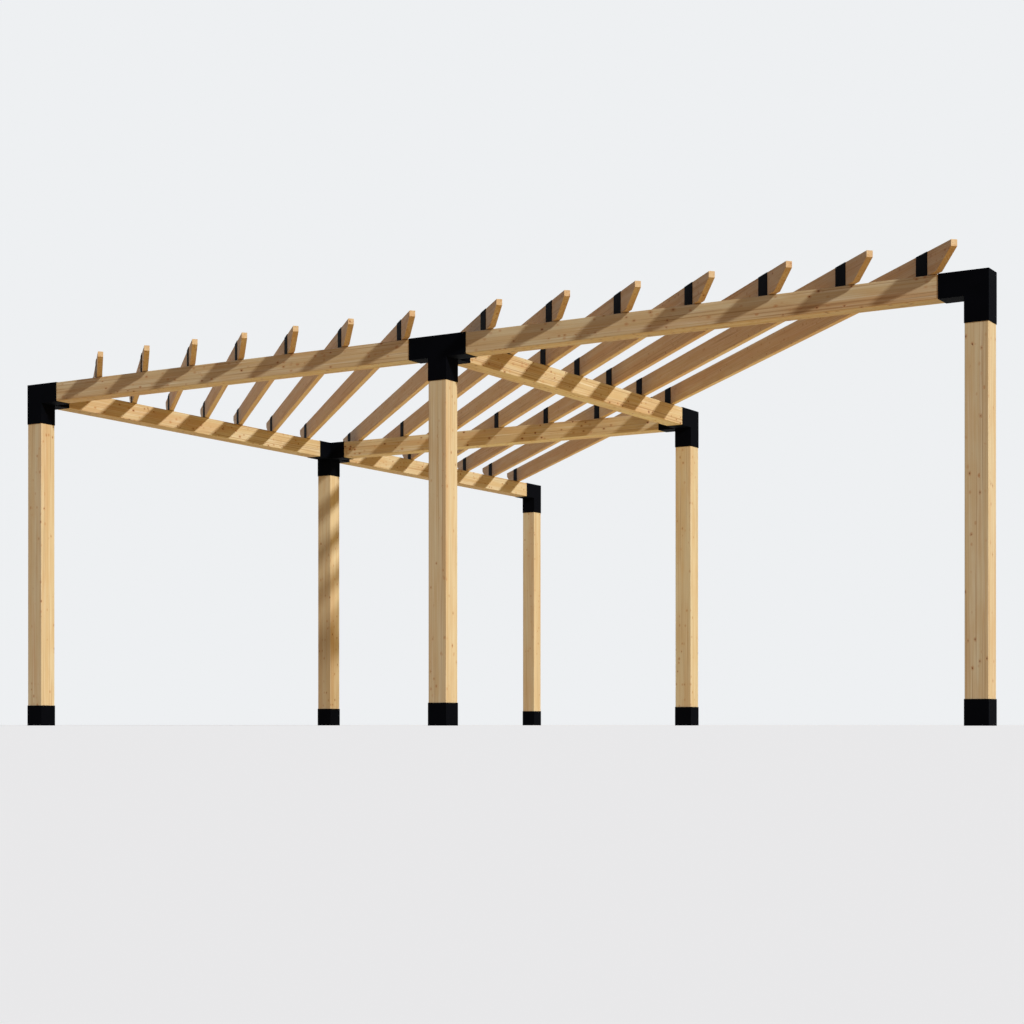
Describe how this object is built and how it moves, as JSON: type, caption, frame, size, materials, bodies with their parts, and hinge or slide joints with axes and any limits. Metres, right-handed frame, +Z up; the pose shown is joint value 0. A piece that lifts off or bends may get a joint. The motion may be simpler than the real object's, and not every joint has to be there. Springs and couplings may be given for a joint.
{
  "type": "wooden pergola",
  "caption": "Open triangular timber pergola: square posts and beams joined by black steel brackets, under a roof of parallel rafters laid on the diagonal.",
  "frame": {"origin": "centre of the underside of the corner post's foot", "axes": "+X along the front leg, +Y along the side leg, +Z up"},
  "size_m": [7.6518, 7.6518, 2.7268],
  "materials": {
    "timber": "dressed softwood, clear finished",
    "black_steel": "matte black powder coat"
  },
  "bodies": {
    "root": {"post_corner": "timber", "foot_corner": "black_steel", "top_bracket_corner": "black_steel", "post_front_mid": "timber", "foot_front_mid": "black_steel", "top_bracket_front_mid": "black_steel", "post_front_end": "timber", "foot_front_end": "black_steel", "top_bracket_front_end": "black_steel", "post_side_mid": "timber", "foot_side_mid": "black_steel", "top_bracket_side_mid": "black_steel", "post_side_end": "timber", "foot_side_end": "black_steel", "top_bracket_side_end": "black_steel", "post_inner": "timber", "foot_inner": "black_steel", "top_bracket_inner": "black_steel", "beam_front_near": "timber", "rafter_saddles_front_near": "black_steel", "beam_front_far": "timber", "rafter_saddles_front_far": "black_steel", "beam_side_near": "timber", "rafter_saddles_side_near": "black_steel", "beam_side_far": "timber", "rafter_saddles_side_far": "black_steel", "beam_inner_right": "timber", "rafter_saddles_inner_right": "black_steel", "beam_inner_left": "timber", "rafter_saddles_inner_left": "black_steel", "rafter_01": "timber", "rafter_02": "timber", "rafter_03": "timber", "rafter_04": "timber", "rafter_05": "timber", "rafter_06": "timber", "rafter_07": "timber", "rafter_08": "timber", "rafter_09": "timber", "rafter_10": "timber", "rafter_11": "timber", "rafter_12": "timber", "rafter_13": "timber", "rafter_14": "timber"}
  },
  "joints": []
}
